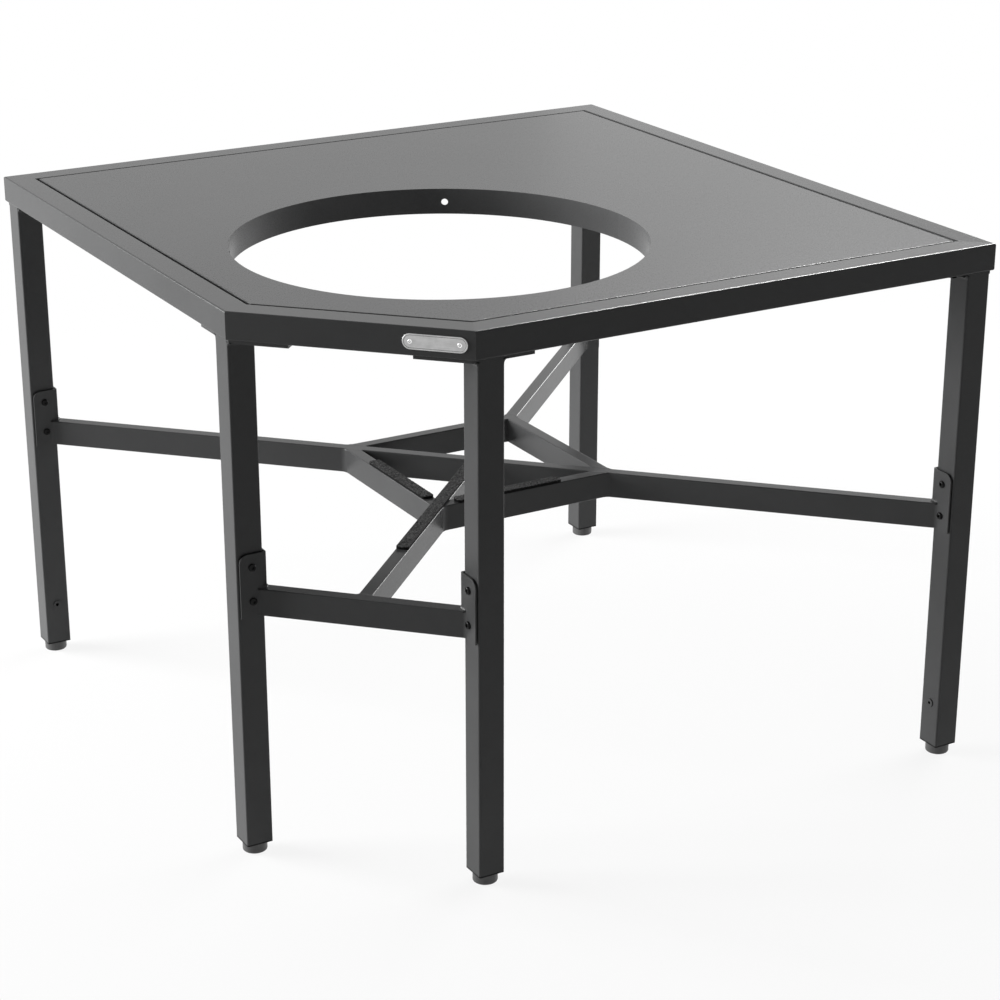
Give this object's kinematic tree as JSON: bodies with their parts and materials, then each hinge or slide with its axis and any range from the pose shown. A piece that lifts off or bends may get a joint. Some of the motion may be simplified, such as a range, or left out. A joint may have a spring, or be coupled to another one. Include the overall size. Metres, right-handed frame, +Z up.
{
  "type": "grill table frame",
  "caption": "Corner table frame of dark coated steel tube with one corner cut off, a drop-in top with a round grill opening, a padded cross brace to carry the grill, and screw feet.",
  "frame": {"origin": "on the floor, at the middle of the rim's outer square", "axes": "+Z up, +X to the right along the front side, +Y to the back; the cut corner is at -X -Y"},
  "size_m": [1.046, 1.046, 0.775],
  "materials": {
    "frame_coat": "satin powder coat",
    "panel": "satin powder coat",
    "pad": "rough fibre pad",
    "foot": "moulded",
    "plug": "moulded",
    "zinc": "zinc plated",
    "screw": "black oxide",
    "badge": "brushed"
  },
  "bodies": {
    "frame": {"arm_back": "frame_coat", "arm_front": "frame_coat", "bar_front": "frame_coat", "bracket_back": "frame_coat", "bracket_front_left": "frame_coat", "bracket_front_right": "frame_coat", "bracket_left": "frame_coat", "bracket_right": "frame_coat", "bracket_screws": "screw", "cross_tube": "frame_coat", "foot_plug_back": "plug", "foot_plug_front_left": "plug", "foot_plug_front_right": "plug", "foot_plug_left": "plug", "foot_plug_right": "plug", "grill_pad_front": "pad", "grill_pad_left": "pad", "grill_pad_right": "pad", "ledge_back": "frame_coat", "ledge_corner": "frame_coat", "ledge_front": "frame_coat", "ledge_left": "frame_coat", "ledge_right": "frame_coat", "leg_back": "frame_coat", "leg_front_left": "frame_coat", "leg_front_right": "frame_coat", "leg_inserts": "frame_coat", "leg_left": "frame_coat", "leg_plate_back": "frame_coat", "leg_plate_front_left": "frame_coat", "leg_plate_front_right": "frame_coat", "leg_plate_left": "frame_coat", "leg_plate_right": "frame_coat", "leg_right": "frame_coat", "name_plate": "badge", "plate_bolts": "screw", "plate_rivets": "badge", "rail_back": "frame_coat", "rail_corner": "frame_coat", "rail_front": "frame_coat", "rail_left": "frame_coat", "rail_nuts": "zinc", "rail_right": "frame_coat", "square_bar_back": "frame_coat", "square_bar_front": "frame_coat", "square_bar_left": "frame_coat", "square_bar_right": "frame_coat"},
    "top_panel": {"top_panel": "panel", "hole_collar": "panel"},
    "stud_left": {"foot_stud_left": "zinc"},
    "foot_left": {"foot_pad_left": "foot"},
    "stud_back": {"foot_stud_back": "zinc"},
    "foot_back": {"foot_pad_back": "foot"},
    "stud_right": {"foot_stud_right": "zinc"},
    "foot_right": {"foot_pad_right": "foot"},
    "stud_front_right": {"foot_stud_front_right": "zinc"},
    "foot_front_right": {"foot_pad_front_right": "foot"},
    "stud_front_left": {"foot_stud_front_left": "zinc"},
    "foot_front_left": {"foot_pad_front_left": "foot"}
  },
  "joints": [
    {"name": "panel_lift", "type": "slide", "parent": "frame", "child": "top_panel", "axis": [0, 0, 1], "range_m": [0, 0.06]},
    {"name": "foot_lift_left", "type": "slide", "parent": "frame", "child": "stud_left", "axis": [0, 0, -1], "range_m": [0, 0.0195]},
    {"name": "foot_turn_left", "type": "hinge", "parent": "stud_left", "child": "foot_left", "pos_m": [-0.5, 0.5, 0.008], "axis": [0, 0, -1], "range_deg": [0, 4680]},
    {"name": "foot_lift_back", "type": "slide", "parent": "frame", "child": "stud_back", "axis": [0, 0, -1], "range_m": [0, 0.0195]},
    {"name": "foot_turn_back", "type": "hinge", "parent": "stud_back", "child": "foot_back", "pos_m": [0.5, 0.5, 0.008], "axis": [0, 0, -1], "range_deg": [0, 4680]},
    {"name": "foot_lift_right", "type": "slide", "parent": "frame", "child": "stud_right", "axis": [0, 0, -1], "range_m": [0, 0.0195]},
    {"name": "foot_turn_right", "type": "hinge", "parent": "stud_right", "child": "foot_right", "pos_m": [0.5, -0.5, 0.008], "axis": [0, 0, -1], "range_deg": [0, 4680]},
    {"name": "foot_lift_front_right", "type": "slide", "parent": "frame", "child": "stud_front_right", "axis": [0, 0, -1], "range_m": [0, 0.0195]},
    {"name": "foot_turn_front_right", "type": "hinge", "parent": "stud_front_right", "child": "foot_front_right", "pos_m": [-0.269, -0.5, 0.008], "axis": [0, 0, -1], "range_deg": [0, 4680]},
    {"name": "foot_lift_front_left", "type": "slide", "parent": "frame", "child": "stud_front_left", "axis": [0, 0, -1], "range_m": [0, 0.0195]},
    {"name": "foot_turn_front_left", "type": "hinge", "parent": "stud_front_left", "child": "foot_front_left", "pos_m": [-0.5, -0.269, 0.008], "axis": [0, 0, -1], "range_deg": [0, 4680]}
  ],
  "couplings": [
    {"joint": "foot_lift_left", "follows": "foot_turn_left", "m_per_rad": 0.00023873},
    {"joint": "foot_lift_back", "follows": "foot_turn_back", "m_per_rad": 0.00023873},
    {"joint": "foot_lift_right", "follows": "foot_turn_right", "m_per_rad": 0.00023873},
    {"joint": "foot_lift_front_right", "follows": "foot_turn_front_right", "m_per_rad": 0.00023873},
    {"joint": "foot_lift_front_left", "follows": "foot_turn_front_left", "m_per_rad": 0.00023873}
  ]
}
